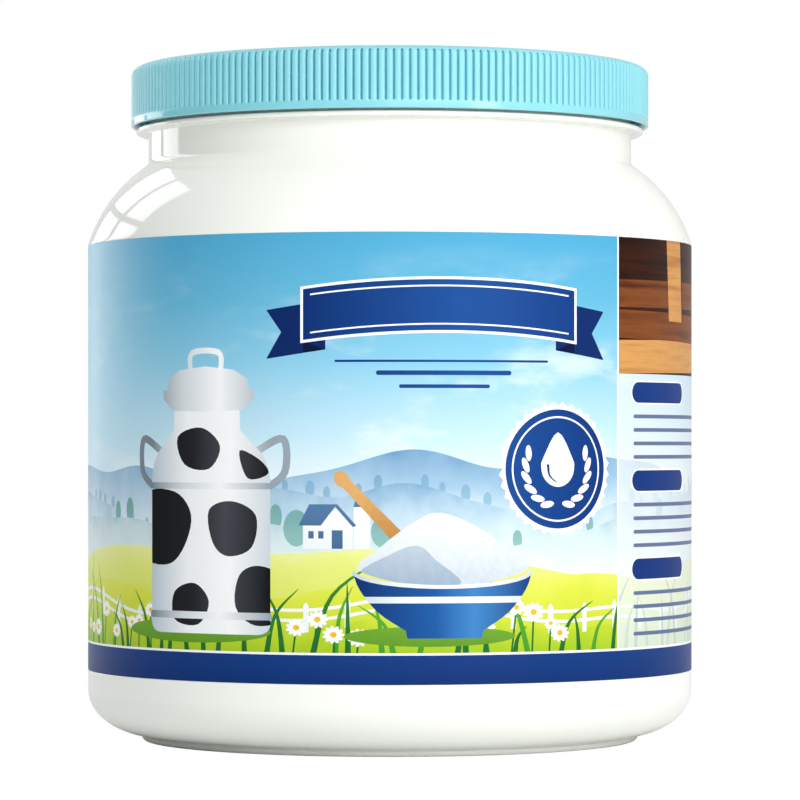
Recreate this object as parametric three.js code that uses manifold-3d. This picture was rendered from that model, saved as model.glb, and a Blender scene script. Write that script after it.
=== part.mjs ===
// A wide-mouth plastic jar of milk powder, shut with a ribbed screw lid.
// Millimetres, +Z up. The origin is the middle of the foot, on the surface the jar stands on.

import * as THREE from 'three';
import { mergeVertices } from 'three/addons/utils/BufferGeometryUtils.js';
import Module from 'manifold-3d';

const wasm = await Module();
wasm.setup();

// Body of the jar
const bodyRadius = 70;
const footRadius = 57.5;
const footCorner = 1;
const baseRecessRadius = 46;
const baseRecessDepth = 2;
const baseRecessSlope = 4;
const heelRadial = 14;
const heelHeight = 10.5;
const heelTop = 12;

// Printed label, a thin sleeve that lies flush in a shallow panel of the wall
const labelBottom = 16.5;
const labelTop = 114.2;
const labelThickness = 0.25;
const fittingGap = 0.3;

// Shoulder, a convex arc that starts at an angle to the wall
const shoulderArc = 34;
const shoulderArcHeight = 104.5;
const shoulderArcCentre = 37.5;

// Neck, with the bead that the lid closes down on
const neckRadius = 56;
const neckFillet = 2;
const beadRadius = 58.8;
const beadBottom = 139.7;
const beadTop = 141.35;
const beadRound = 0.7;
const mouthHeight = 154;
const mouthChamfer = 0.6;

// Screw lid
const lidRadius = 60;
const lidBottom = 141.75;
const lidTop = 156;
const lidWall = 1.6;
const lidTopThickness = 1.6;
const lidInnerCorner = 1.5;
const lidRimRadial = 6;
const lidRimHeight = 4;
const lidEdgeChamfer = 0.3;
const lidPanelRadius = 49;
const lidPanelDepth = 0.5;
const lidPanelSlope = 1;

// Grip ribs: narrow grooves cut into the lid's side
const ribCount = 212;
const grooveDepth = 0.8;
const grooveOpening = 0.34;
const grooveBottom = 143.5;
const grooveTop = 155;
const grooveOvershoot = 0.5;

// Facets round each turned piece, and steps along the curves of its profile
const bodyFacets = 64;
const lidFacets = ribCount / 2;
const curveSteps = 5;
const rimSteps = 4;
const smallSteps = 2;

// Points along part of an ellipse, from one angle to another in degrees
function arc(centreRadius, centreHeight, radial, axial, fromDegrees, toDegrees, steps) {
  const points = [];
  for (let step = 0; step <= steps; step++) {
    const angle = THREE.MathUtils.degToRad(fromDegrees + ((toDegrees - fromDegrees) * step) / steps);
    points.push([centreRadius + radial * Math.cos(angle), centreHeight + axial * Math.sin(angle)]);
  }
  return points;
}

// A turned solid about +Z from a profile of [radius, height] pairs
function turned(profile, facets) {
  const points = profile.map(([radius, height]) => new THREE.Vector2(radius, height));
  const geometry = new THREE.LatheGeometry(points, facets);
  geometry.rotateX(Math.PI / 2);
  return geometry;
}

function toSolid(geometry) {
  const bare = geometry.clone();
  bare.deleteAttribute('normal');
  bare.deleteAttribute('uv');
  const merged = mergeVertices(bare, 1e-4);
  const indices = [];
  for (let i = 0; i < merged.index.count; i += 3) {
    const corners = [merged.index.getX(i), merged.index.getX(i + 1), merged.index.getX(i + 2)];
    if (new Set(corners).size === 3) {
      indices.push(...corners);
    }
  }
  return new wasm.Manifold(new wasm.Mesh({
    numProp: 3,
    vertProperties: new Float32Array(merged.attributes.position.array),
    triVerts: new Uint32Array(indices),
  }));
}

function toGeometry(solid) {
  const mesh = solid.getMesh();
  const geometry = new THREE.BufferGeometry();
  geometry.setAttribute('position', new THREE.BufferAttribute(mesh.vertProperties, 3));
  geometry.setIndex(new THREE.BufferAttribute(mesh.triVerts, 1));
  geometry.computeVertexNormals();
  return geometry;
}

function named(name, geometry, material) {
  const mesh = new THREE.Mesh(geometry, material);
  mesh.name = name;
  return mesh;
}

// The flat foot ring, the raised middle of the base and the rounded heel
function footProfile() {
  const heelCentre = bodyRadius - heelRadial;
  const footJoin = Math.acos((footRadius - heelCentre) / heelRadial);
  const heelStart = -THREE.MathUtils.radToDeg(footJoin);
  return [
    [0, baseRecessDepth],
    [baseRecessRadius, baseRecessDepth],
    [baseRecessRadius + baseRecessSlope, 0],
    ...arc(footRadius - footCorner, footCorner, footCorner, footCorner, -90, 0, smallSteps),
    ...arc(heelCentre, heelTop, heelRadial, heelHeight, heelStart, 0, curveSteps),
  ];
}

// The wall, set back where the label lies
function wallProfile() {
  const panelRadius = bodyRadius - labelThickness - fittingGap;
  return [
    [bodyRadius, labelBottom - fittingGap],
    [panelRadius, labelBottom - fittingGap],
    [panelRadius, labelTop + fittingGap],
  ];
}

// The shoulder, and the hollow corner where it meets the neck
function shoulderProfile() {
  const startRise = labelTop + fittingGap - shoulderArcHeight;
  const start = THREE.MathUtils.radToDeg(Math.asin(startRise / shoulderArc));
  const filletCentre = neckRadius + neckFillet;
  const filletDistance = shoulderArc + neckFillet;
  const across = filletCentre - shoulderArcCentre;
  const rise = Math.sqrt(filletDistance ** 2 - across ** 2);
  const end = THREE.MathUtils.radToDeg(Math.atan2(rise, across));
  const filletHeight = shoulderArcHeight + rise;
  return [
    ...arc(shoulderArcCentre, shoulderArcHeight, shoulderArc, shoulderArc, start, end, curveSteps),
    ...arc(filletCentre, filletHeight, neckFillet, neckFillet, end + 180, 180, smallSteps).slice(1),
  ];
}

// The neck, its bead and the mouth that the lid covers
function neckProfile() {
  return [
    [neckRadius, beadBottom],
    ...arc(beadRadius - beadRound, beadBottom + beadRound, beadRound, beadRound, -90, 0, smallSteps),
    [beadRadius, beadTop],
    [neckRadius, beadTop],
    [neckRadius, mouthHeight - mouthChamfer],
    [neckRadius - mouthChamfer, mouthHeight],
    [0, mouthHeight],
  ];
}

function makeJar() {
  const profile = [...footProfile(), ...wallProfile(), ...shoulderProfile(), ...neckProfile()];
  const whitePlastic = new THREE.MeshStandardMaterial({ color: 0xf4f5f1, roughness: 0.22, metalness: 0 });
  return named('jar', turned(profile, bodyFacets), whitePlastic);
}

function makeLabel() {
  const inner = bodyRadius - labelThickness;
  const profile = [
    [inner, labelBottom],
    [bodyRadius, labelBottom],
    [bodyRadius, labelTop],
    [inner, labelTop],
    [inner, labelBottom],
  ];
  const printedFilm = new THREE.MeshStandardMaterial({ color: 0x8fcfe8, roughness: 0.3, metalness: 0 });
  return named('label', turned(profile, bodyFacets), printedFilm);
}

// The lid before its grooves are cut: a cap with a rounded rim and a slightly sunken top
function lidBlank() {
  const innerRadius = lidRadius - lidWall;
  const underside = lidTop - lidTopThickness;
  const rimCentreHeight = lidTop - lidRimHeight;
  const profile = [
    [0, underside],
    [innerRadius - lidInnerCorner, underside],
    [innerRadius, underside - lidInnerCorner],
    [innerRadius, lidBottom],
    [lidRadius - lidEdgeChamfer, lidBottom],
    [lidRadius, lidBottom + lidEdgeChamfer],
    ...arc(lidRadius - lidRimRadial, rimCentreHeight, lidRimRadial, lidRimHeight, 0, 90, rimSteps),
    [lidPanelRadius + lidPanelSlope, lidTop],
    [lidPanelRadius, lidTop - lidPanelDepth],
    [0, lidTop - lidPanelDepth],
  ];
  return toSolid(turned(profile, lidFacets));
}

// One V-shaped groove, standing upright at the angle given
function groove(angle) {
  const pitch = (2 * Math.PI * lidRadius) / ribCount;
  const floor = lidRadius - grooveDepth;
  const mouth = lidRadius + grooveOvershoot;
  const halfMouth = ((pitch * grooveOpening) / 2) * ((grooveDepth + grooveOvershoot) / grooveDepth);
  const outline = new THREE.Shape();
  outline.moveTo(floor, 0);
  outline.lineTo(mouth, -halfMouth);
  outline.lineTo(mouth, halfMouth);
  outline.closePath();
  const geometry = new THREE.ExtrudeGeometry(outline, {
    depth: grooveTop - grooveBottom,
    bevelEnabled: false,
  });
  geometry.rotateZ(angle);
  geometry.translate(0, 0, grooveBottom);
  return toSolid(geometry);
}

function makeLid() {
  const grooves = [];
  for (let rib = 0; rib < ribCount; rib++) {
    grooves.push(groove((2 * Math.PI * (rib + 0.5)) / ribCount));
  }
  const lid = lidBlank().subtract(wasm.Manifold.union(grooves));
  const bluePlastic = new THREE.MeshStandardMaterial({ color: 0x8fdcee, roughness: 0.3, metalness: 0 });
  return named('lid', toGeometry(lid), bluePlastic);
}

const milkPowderJar = new THREE.Group();
milkPowderJar.add(makeJar());
milkPowderJar.add(makeLabel());
milkPowderJar.add(makeLid());

export default milkPowderJar;
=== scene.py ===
import math
import random

import bpy
import numpy as np
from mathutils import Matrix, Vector
from mathutils.geometry import delaunay_2d_cdt


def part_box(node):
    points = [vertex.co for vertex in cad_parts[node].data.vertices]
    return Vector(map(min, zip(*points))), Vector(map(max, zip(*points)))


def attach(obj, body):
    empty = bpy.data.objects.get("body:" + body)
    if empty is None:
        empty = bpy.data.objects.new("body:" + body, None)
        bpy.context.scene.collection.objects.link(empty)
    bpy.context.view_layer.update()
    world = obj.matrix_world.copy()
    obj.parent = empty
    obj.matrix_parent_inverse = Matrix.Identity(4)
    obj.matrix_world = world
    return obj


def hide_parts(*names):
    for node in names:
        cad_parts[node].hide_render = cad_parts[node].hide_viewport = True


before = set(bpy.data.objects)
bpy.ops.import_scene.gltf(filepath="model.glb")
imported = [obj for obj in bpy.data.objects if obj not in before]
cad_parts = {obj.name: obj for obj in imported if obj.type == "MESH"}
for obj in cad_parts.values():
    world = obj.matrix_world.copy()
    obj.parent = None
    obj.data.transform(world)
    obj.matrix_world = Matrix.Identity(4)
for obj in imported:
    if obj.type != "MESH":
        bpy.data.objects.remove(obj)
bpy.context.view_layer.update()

# A shut plastic jar of milk powder: white jar, ribbed blue lid and a printed wrap-round label.
# Lengths are millimetres until a mesh is made, and MM turns them into metres.

MM = 0.001

jar_low, jar_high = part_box("jar")
label_low, label_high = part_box("label")
lid_low, lid_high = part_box("lid")

# Sizes that the frame gives
BODY_RADIUS = round(jar_high.x / MM, 2)
MOUTH_HEIGHT = round(jar_high.z / MM, 2)
LABEL_BOTTOM = round(label_low.z / MM, 2)
LABEL_TOP = round(label_high.z / MM, 2)
LID_RADIUS = round(max(lid_high.x, lid_high.y) / MM, 1)
LID_BOTTOM = round(lid_low.z / MM, 2)
LID_TOP = round(lid_high.z / MM, 2)

# Foot and heel
FOOT_RADIUS = 57.5
FOOT_CORNER = 1.0
FOOT_INNER_RADIUS = 50.0
BASE_RECESS_RADIUS = 46.0
BASE_RECESS = 2.0
BASE_DOME = 0.6
HEEL_RADIAL = 14.0
HEEL_HEIGHT = 10.5
HEEL_TOP = 12.0

# Panel that the label lies in
FILM_THICKNESS = 0.12
PANEL_DEPTH = 0.14
PANEL_MARGIN = 0.06

# Shoulder, neck and bead
SHOULDER_ARC = 34.0
SHOULDER_ARC_HEIGHT = 104.5
SHOULDER_ARC_CENTRE = 37.5
NECK_RADIUS = 56.0
NECK_FILLET = 2.0
BEAD_RADIUS = 58.8
BEAD_BOTTOM = 140.2
BEAD_TOP = 141.35
BEAD_ROUND = 0.4
BEAD_TOP_ROUND = 0.5
BEAD_FILLET = 0.5

# Parting line of the mould, on the jar's left and right
PARTING_HEIGHT = 0.07
PARTING_HALF_WIDTH = 0.28

# Lid
LID_WALL = 1.6
LID_TOP_THICKNESS = 1.6
LID_RIM_RADIAL = 3.0
LID_RIM_HEIGHT = 2.0
LID_CROWN_RISE = 0.4
LID_PANEL_RADIUS = 49.0
LID_PANEL_DEPTH = 0.5
GATE_RADIUS = 1.6
GATE_HEIGHT = 0.25
RIB_COUNT = 212
GROOVE_DEPTH = 0.9
GROOVE_BOTTOM = 143.4
GROOVE_BOTTOM_RAMP = 0.4
GROOVE_TOP = 154.75
GROOVE_TOP_RAMP = 0.25
CROWN_DROP = 0.3
SKIRT_EDGE = 0.7

# Camera, from the curves of the label's edges, the lid and the foot
PICTURE_PIXELS = 800
SENSOR = 36.0
CAMERA_DISTANCE = 946.0
CAMERA_HEIGHT = 68.0
FOCAL_PIXELS = 4068.0
AXIS_PIXEL = 389.8
HORIZON_PIXEL = 446.0


# Profiles

def arc(centre, radii, start, end, steps):
    """Points of part of an ellipse in (radius, height), angles in degrees."""
    points = []
    for step in range(steps + 1):
        angle = math.radians(start + (end - start) * step / steps)
        points.append((centre[0] + radii[0] * math.cos(angle), centre[1] + radii[1] * math.sin(angle)))
    return points


def rounded(before, corner, after, radius, steps=6):
    """The corner of a profile as a round arc that touches both of its sides."""
    corner = Vector(corner)
    back = (Vector(before) - corner).normalized()
    ahead = (Vector(after) - corner).normalized()
    half = math.acos(max(-1.0, min(1.0, back.dot(ahead)))) / 2
    centre = corner + (back + ahead).normalized() * (radius / math.sin(half))
    reach = radius / math.tan(half)
    first = corner + back * reach - centre
    last = corner + ahead * reach - centre
    points = []
    for step in range(steps + 1):
        mix = first.lerp(last, step / steps).normalized() * radius
        points.append(tuple(centre + mix))
    return points


def jar_profile():
    heel_centre = BODY_RADIUS - HEEL_RADIAL
    heel_start = -math.degrees(math.acos((FOOT_RADIUS - heel_centre) / HEEL_RADIAL))
    heel = arc((heel_centre, HEEL_TOP), (HEEL_RADIAL, HEEL_HEIGHT), heel_start, 0, 28)
    panel = BODY_RADIUS - PANEL_DEPTH
    panel_low = LABEL_BOTTOM - PANEL_MARGIN
    panel_high = LABEL_TOP + PANEL_MARGIN
    edge = 0.08
    profile = []
    for step in range(7):
        share = step / 6
        profile.append((BASE_RECESS_RADIUS * share, BASE_RECESS + BASE_DOME * (1 - share * share)))
    profile += rounded((BASE_RECESS_RADIUS, BASE_RECESS), (FOOT_INNER_RADIUS, 0), (FOOT_RADIUS, 0), 1.5)
    profile += arc((FOOT_RADIUS - FOOT_CORNER, FOOT_CORNER), (FOOT_CORNER, FOOT_CORNER), -90, 0, 6)
    profile += heel
    profile += [(BODY_RADIUS, HEEL_TOP + 0.6), (BODY_RADIUS, panel_low - edge)]
    profile += [(BODY_RADIUS - edge / 3, panel_low - edge / 3), (panel, panel_low)]
    for step in range(1, 8):
        profile.append((panel, panel_low + (panel_high - panel_low) * step / 8))
    shoulder, fillet = shoulder_profile()
    profile += [(panel, panel_high), (BODY_RADIUS - edge / 3, panel_high + edge / 3)]
    profile += shoulder + fillet[1:]
    profile += neck_profile()
    return profile


def shoulder_profile():
    """The convex shoulder, and the hollow fillet where it meets the neck."""
    centre = (SHOULDER_ARC_CENTRE, SHOULDER_ARC_HEIGHT)
    lowest = math.acos((BODY_RADIUS - 0.02 - centre[0]) / SHOULDER_ARC)
    across = NECK_RADIUS + NECK_FILLET - centre[0]
    rise = math.sqrt((SHOULDER_ARC + NECK_FILLET) ** 2 - across ** 2)
    end = math.degrees(math.atan2(rise, across))
    shoulder = arc(centre, (SHOULDER_ARC, SHOULDER_ARC), math.degrees(lowest), end, 36)
    fillet_centre = (NECK_RADIUS + NECK_FILLET, centre[1] + rise)
    fillet = arc(fillet_centre, (NECK_FILLET, NECK_FILLET), end + 180, 180, 8)
    return shoulder, fillet


def neck_profile():
    """The neck, the bead under the lid and the mouth that the lid hides."""
    low = (NECK_RADIUS, BEAD_BOTTOM)
    out = (BEAD_RADIUS, BEAD_BOTTOM)
    top = (BEAD_RADIUS, BEAD_TOP)
    back = (NECK_RADIUS, BEAD_TOP)
    profile = [(NECK_RADIUS, BEAD_BOTTOM - 1.2)]
    profile += rounded((NECK_RADIUS, BEAD_BOTTOM - 5), low, out, BEAD_FILLET)
    profile += rounded(low, out, top, BEAD_ROUND)
    profile += rounded(out, top, back, BEAD_TOP_ROUND)
    profile += [back, (NECK_RADIUS, MOUTH_HEIGHT - 0.6), (NECK_RADIUS - 0.6, MOUTH_HEIGHT)]
    profile += [(NECK_RADIUS / 2, MOUTH_HEIGHT), (0, MOUTH_HEIGHT)]
    return profile


def lid_profile():
    """The lid's rows from the middle of its underside round to the middle of its top, and those with ribs."""
    inner = LID_RADIUS - LID_WALL
    under = LID_TOP - LID_TOP_THICKNESS
    edge = LID_RADIUS - SKIRT_EDGE
    inside = [(0, under), (inner / 2, under), (inner - 1.5, under), (inner, under - 1.5)]
    inside += [(inner, LID_BOTTOM + 1.8), (edge, LID_BOTTOM + 0.2), (edge + 0.15, LID_BOTTOM)]
    band = rounded((inner, LID_BOTTOM), (LID_RADIUS, LID_BOTTOM), (LID_RADIUS, LID_TOP), 0.3)
    ribs = [(LID_RADIUS, GROOVE_BOTTOM - 0.4)]
    ribs += [(LID_RADIUS, GROOVE_BOTTOM + GROOVE_BOTTOM_RAMP * step / 4) for step in range(5)]
    ribs += [(LID_RADIUS, height) for height in (146.0, 148.5, 151.0)]
    rim_centre = (LID_RADIUS - LID_RIM_RADIAL, LID_TOP - LID_CROWN_RISE - LID_RIM_HEIGHT)
    rim = arc(rim_centre, (LID_RIM_RADIAL, LID_RIM_HEIGHT), 0, 90, 26)
    ribs += [row for row in rim if row[1] < GROOVE_TOP + 0.1]
    top = [row for row in rim if row not in ribs]
    lip = (LID_PANEL_RADIUS + 1.2, LID_TOP)
    low = (LID_PANEL_RADIUS, LID_TOP - LID_PANEL_DEPTH)
    top += rounded(rim[-1], lip, low, 0.8, 4) + rounded(lip, low, (0, low[1]), 0.8, 4)
    top += [(LID_PANEL_RADIUS / 2, low[1]), (GATE_RADIUS + 0.5, low[1])]
    top += [(GATE_RADIUS, low[1] + GATE_HEIGHT), (0, low[1] + GATE_HEIGHT)]
    return inside + band + ribs + top, set(ribs)


# Meshes

def add_piece(name, mesh, node):
    piece = bpy.data.objects.new(name, mesh)
    bpy.context.scene.collection.objects.link(piece)
    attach(piece, "root")
    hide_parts(node)
    return piece


def turned_mesh(name, profile, angles_at, reshape):
    """A closed mesh turned about Z. angles_at gives the angles of a ring's points, and reshape its radii."""
    verts = []
    rings = []
    for radius, height in profile:
        angles = angles_at(radius, height) if radius else [0.0]
        rings.append(list(range(len(verts), len(verts) + len(angles))))
        for angle in angles:
            here = reshape(radius, height, angle)
            verts.append((here * math.cos(angle) * MM, here * math.sin(angle) * MM, height * MM))
    faces = []
    for lower, upper in zip(rings, rings[1:]):
        faces += ring_faces(lower, upper)
    mesh = bpy.data.meshes.new(name)
    mesh.from_pydata(verts, [], faces)
    mesh.shade_smooth()
    return mesh


def ring_faces(lower, upper):
    """Faces between two rings, where one can have several times the other's points."""
    count = min(len(lower), len(upper))
    if count == 1:
        count = max(len(lower), len(upper))
    faces = []
    for i in range(count):
        faces.append(tuple(part_of_ring(lower, i, count) + part_of_ring(upper, i, count)[::-1]))
    return faces


def part_of_ring(ring, index, count):
    if len(ring) == 1:
        return list(ring)
    share = len(ring) // count
    return [ring[k % len(ring)] for k in range(index * share, (index + 1) * share + 1)]


def weigh_normals(piece):
    modifier = piece.modifiers.new("even shading", "WEIGHTED_NORMAL")
    modifier.mode = "FACE_AREA"
    modifier.weight = 60
    modifier.keep_sharp = True


def jar_angles():
    """Even steps round the jar, with close ones at the two parting lines."""
    angles = {round(math.tau * step / 240, 6) for step in range(240)}
    for middle in (0.0, math.pi):
        for offset in (-0.4, -0.25, -0.12, 0.12, 0.25, 0.4):
            angles.add(round((middle + math.radians(offset)) % math.tau, 6))
    return sorted(angles)


def with_parting_line(radius, height, angle):
    side = min(abs(math.remainder(angle, math.tau)), abs(math.remainder(angle - math.pi, math.tau)))
    across = side * radius / PARTING_HALF_WIDTH
    shown = 1.0 if FOOT_CORNER < height < BEAD_BOTTOM else 0.0
    return radius + shown * PARTING_HEIGHT * math.exp(-across * across)


def make_jar():
    angles = jar_angles()
    mesh = turned_mesh("jar_moulding", jar_profile(), lambda radius, height: angles, with_parting_line)
    mesh.materials.append(white_plastic())
    weigh_normals(add_piece("jar_moulding", mesh, "jar"))


# One pitch of the ribs, as shares of it either side of the groove's middle
GROOVE_FLOOR = 0.035
GROOVE_EDGE = 0.155
GROOVE_SIDE = (0.035, 0.065, 0.095, 0.125, 0.155, 0.24, 0.36)
GROOVE_COLUMNS = (-0.5, *(-share for share in reversed(GROOVE_SIDE)), *GROOVE_SIDE)


def smooth_step(low, high, value):
    share = max(0.0, min(1.0, (value - low) / (high - low)))
    return share * share * (3 - 2 * share)


def lid_angles(columns):
    pitch = math.tau / RIB_COUNT
    return [(rib + 0.5 + share) * pitch for rib in range(RIB_COUNT) for share in columns]


def rib_radius(radius, height, angle):
    """Broad grip ribs with narrow grooves between them, which run out on the rim and above the lower band."""
    from_groove = abs((angle * RIB_COUNT / math.tau) % 1.0 - 0.5)
    depth = GROOVE_DEPTH * (1 - smooth_step(GROOVE_FLOOR, GROOVE_EDGE, from_groove))
    depth += CROWN_DROP * (1 - 2 * from_groove) ** 2
    depth *= smooth_step(GROOVE_BOTTOM, GROOVE_BOTTOM + GROOVE_BOTTOM_RAMP, height)
    depth *= 1 - smooth_step(GROOVE_TOP - GROOVE_TOP_RAMP, GROOVE_TOP, height)
    return radius - depth


def make_lid():
    rows, ribs = lid_profile()
    close, wide = lid_angles(GROOVE_COLUMNS), lid_angles(GROOVE_COLUMNS[:1])

    def angles_at(radius, height):
        return close if (radius, height) in ribs else wide

    def reshape(radius, height, angle):
        return rib_radius(radius, height, angle) if (radius, height) in ribs else radius

    mesh = turned_mesh("screw_lid", rows, angles_at, reshape)
    mesh.materials.append(lid_plastic())
    weigh_normals(add_piece("screw_lid", mesh, "lid"))


# Materials

def rgb(red, green, blue):
    """A screen colour, 0 to 255, as the linear numbers that shaders use."""
    linear = []
    for value in (red, green, blue):
        share = value / 255
        linear.append(share / 12.92 if share <= 0.04045 else ((share + 0.055) / 1.055) ** 2.4)
    return (*linear, 1.0)


def plain(level):
    """A grey, from 0 to 1."""
    return (level, level, level, 1.0)


def add_node(tree, kind, settings=(), inputs=()):
    """A node with its settings, and with its inputs set or linked by name or number."""
    node = tree.nodes.new("ShaderNode" + kind)
    for name, value in dict(settings).items():
        setattr(node, name, value)
    for name, value in dict(inputs).items():
        socket = node.inputs[name]
        if isinstance(value, bpy.types.NodeSocket):
            tree.links.new(value, socket)
        else:
            socket.default_value = value
    return node


def start_material(name, shader_inputs):
    material = bpy.data.materials.new(name)
    material.use_nodes = True
    tree = material.node_tree
    shader = tree.nodes["Principled BSDF"]
    for socket, value in shader_inputs.items():
        shader.inputs[socket].default_value = value
    return material, tree, shader


def place(tree, stretch=(1.0, 1.0, 1.0)):
    """The point on the object in metres, stretched, for patterns that need no unwrapping."""
    spot = add_node(tree, "TexCoord").outputs["Object"]
    mapping = add_node(tree, "Mapping", inputs={"Vector": spot, "Scale": stretch})
    return mapping.outputs["Vector"]


def noise(tree, vector, scale, detail, roughness=0.5):
    inputs = {"Vector": vector, "Scale": scale, "Detail": detail, "Roughness": roughness}
    return add_node(tree, "TexNoise", inputs=inputs).outputs["Fac"]


def ramp(tree, value, stops, smooth=False):
    node = add_node(tree, "ValToRGB", inputs={"Fac": value})
    elements = node.color_ramp.elements
    node.color_ramp.interpolation = "EASE" if smooth else "LINEAR"
    while len(elements) < len(stops):
        elements.new(0.5)
    for element, (position, colour) in zip(elements, stops):
        element.position = position
        element.color = colour
    return node.outputs["Color"]


def maths(tree, operation, *values):
    return add_node(tree, "Math", {"operation": operation}, enumerate(values)).outputs[0]


# Where the mix node has its share, its two colours and their mixture
MIX_SHARE = 0
MIX_FIRST = 6
MIX_SECOND = 7
MIX_RESULT = 2


def mixed(tree, share, first, second):
    inputs = {MIX_SHARE: share, MIX_FIRST: first, MIX_SECOND: second}
    return add_node(tree, "Mix", {"data_type": "RGBA"}, inputs).outputs[MIX_RESULT]


def bump(tree, shader, height, strength, distance):
    inputs = {"Height": height, "Strength": strength, "Distance": distance}
    node = add_node(tree, "Bump", inputs=inputs)
    tree.links.new(node.outputs["Normal"], shader.inputs["Normal"])


def white_plastic():
    """Glossy blow-moulded plastic with a faint orange peel."""
    material, tree, shader = start_material("jar_white", {
        "Roughness": 0.07,
        "IOR": 1.5,
        "Specular IOR Level": 0.5,
    })
    cloud = noise(tree, place(tree), 18.0, 1.0)
    colour = ramp(tree, cloud, [(0.3, rgb(246, 248, 241)), (0.7, rgb(250, 252, 245))])
    tree.links.new(colour, shader.inputs["Base Color"])
    peel = noise(tree, place(tree), 500.0, 1.0)
    bump(tree, shader, peel, 0.04, 0.0001)
    return material


# The lid's band below the ribs is polished, and the ribs are satin
BAND_ROUGHNESS = 0.1
RIB_GRAIN_ROUGHNESS = 0.4


def lid_plastic():
    """Light blue moulded plastic."""
    material, tree, shader = start_material("lid_blue", {
        "IOR": 1.5,
        "Specular IOR Level": 0.6,
    })
    cloud = noise(tree, place(tree), 25.0, 1.0)
    colour = ramp(tree, cloud, [(0.3, rgb(138, 214, 226)), (0.7, rgb(142, 218, 229))])
    tree.links.new(colour, shader.inputs["Base Color"])
    height = add_node(tree, "SeparateXYZ", inputs={"Vector": place(tree)}).outputs["Z"]
    inputs = {
        "Value": height,
        "From Min": (GROOVE_BOTTOM - 0.5) * MM,
        "From Max": (GROOVE_BOTTOM + 0.5) * MM,
        "To Min": BAND_ROUGHNESS,
        "To Max": RIB_GRAIN_ROUGHNESS,
    }
    finish = add_node(tree, "MapRange", inputs=inputs).outputs["Result"]
    tree.links.new(finish, shader.inputs["Roughness"])
    grain = noise(tree, place(tree), 1800.0, 1.0)
    bump(tree, shader, grain, 0.06, 0.00005)
    return material


FILM = {"Roughness": 0.38, "IOR": 1.5, "Specular IOR Level": 0.07}


def way_over_print(tree, along, low, high):
    """0 to 1 from low to high millimetres, up the label (z) or round it (s)."""
    sheet = add_node(tree, "UVMap", {"uv_map": "print"}).outputs["UV"]
    parts = add_node(tree, "SeparateXYZ", inputs={"Vector": sheet})
    value = parts.outputs["X" if along == "s" else "Y"]
    inputs = {"Value": value, "From Min": low * MM, "From Max": high * MM}
    return add_node(tree, "MapRange", inputs=inputs).outputs["Result"]


def printed(name, along, low, high, stops, mottle=0.0, mottle_size=9.0):
    """Printed film whose ink changes on its way over the print. A stop is a share and a screen colour."""
    material, tree, shader = start_material(name, FILM)
    value = way_over_print(tree, along, low, high)
    if mottle:
        wander = noise(tree, place(tree), 1000.0 / mottle_size, 2.0, 0.55)
        value = maths(tree, "MULTIPLY_ADD", maths(tree, "SUBTRACT", wander, 0.5), mottle, value)
    stops = [(share, rgb(*colour)) for share, *colour in stops]
    colour = ramp(tree, value, stops)
    finish_film(tree, shader, colour)
    return material, tree, shader, colour


def finish_film(tree, shader, colour):
    """The ink's colour, and the slight unevenness of a film stuck to plastic."""
    tree.links.new(colour, shader.inputs["Base Color"])
    wave = noise(tree, place(tree), 120.0, 0.0)
    bump(tree, shader, wave, 0.03, 0.0002)


# Where the painted reflection of the window lies round the film, from and to (mm)
SKY_PAINTED_REFLECTION = (-128.0, -48.0)
SKY_STOPS = (
    (0, 238, 247, 251), (0.2, 198, 230, 244), (0.5, 140, 203, 229), (0.75, 101, 182, 216), (1, 80, 168, 208),
)


def sky_ink():
    """Sky with thin clouds, and a painted reflection: a pale cyan band on the left of the front picture that
    stands for the window's reflection in the film.
    """
    material, tree, shader, colour = printed("ink_sky", "z", 58, 114, SKY_STOPS)
    wisps = noise(tree, place(tree, (1.0, 1.0, 2.6)), 24.0, 5.0, 0.58)
    shape = ramp(tree, wisps, [(0.52, plain(0)), (0.72, plain(1))], smooth=True)
    height = way_over_print(tree, "z", 60, 112)
    band = ramp(tree, height, [(0.0, plain(0.9)), (0.45, plain(0.6)), (1.0, plain(0))])
    clouded = mixed(tree, maths(tree, "MULTIPLY", shape, band), colour, rgb(250, 253, 254))
    # Painted reflection: the sky is mixed towards pale cyan in a soft band on the left, in place of the
    # window's gloss on the film
    across = way_over_print(tree, "s", *SKY_PAINTED_REFLECTION)
    glow = ramp(tree, across, [(0.0, plain(0)), (0.5, plain(0.6)), (1.0, plain(0))], smooth=True)
    tree.links.new(mixed(tree, glow, clouded, rgb(190, 232, 250)), shader.inputs["Base Color"])
    return material


def paled(name, source, share, colour):
    """The same ink seen through a translucent white panel."""
    material = source.copy()
    material.name = name
    tree = material.node_tree
    shader = tree.nodes["Principled BSDF"]
    socket = shader.inputs["Base Color"]
    under = socket.links[0].from_socket
    tree.links.new(mixed(tree, share, under, colour), socket)
    return material


ALONG_BOARDS = (0.2, 0.2, 4.0)


def wood_ink(name, dark, light):
    """Printed planks: streaks along the board, in browns."""
    material, tree, shader = start_material(name, FILM)
    streaks = noise(tree, place(tree, ALONG_BOARDS), 60.0, 6.0, 0.6)
    colour = ramp(tree, streaks, [(0.3, rgb(*dark)), (0.52, rgb(*light)), (0.7, rgb(*dark))])
    finish_film(tree, shader, colour)
    return material


# Artwork of the label. s runs round the jar from the front's middle, positive to the right.

ROUND = math.tau * BODY_RADIUS
SEAM = -ROUND / 2
OVERLAP = 6.0
FILM_END = SEAM + ROUND + OVERLAP
NAVY_TOP = LABEL_BOTTOM + 6.35
HAIRLINE = 0.5
INFO_LEFT = 56.2
INFO_RIGHT = 138.0
TABLE_RIGHT = -146.0
WOOD_BOTTOM = 84.0

inks = {}
layers = []
outlines = []


def draw(ink, outline, inside=None):
    """Adds a field of one ink. Later fields cover earlier ones, and a field can be kept inside another."""
    layers.append((ink, inside))
    outlines.append(outline)
    return len(layers) - 1


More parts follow.
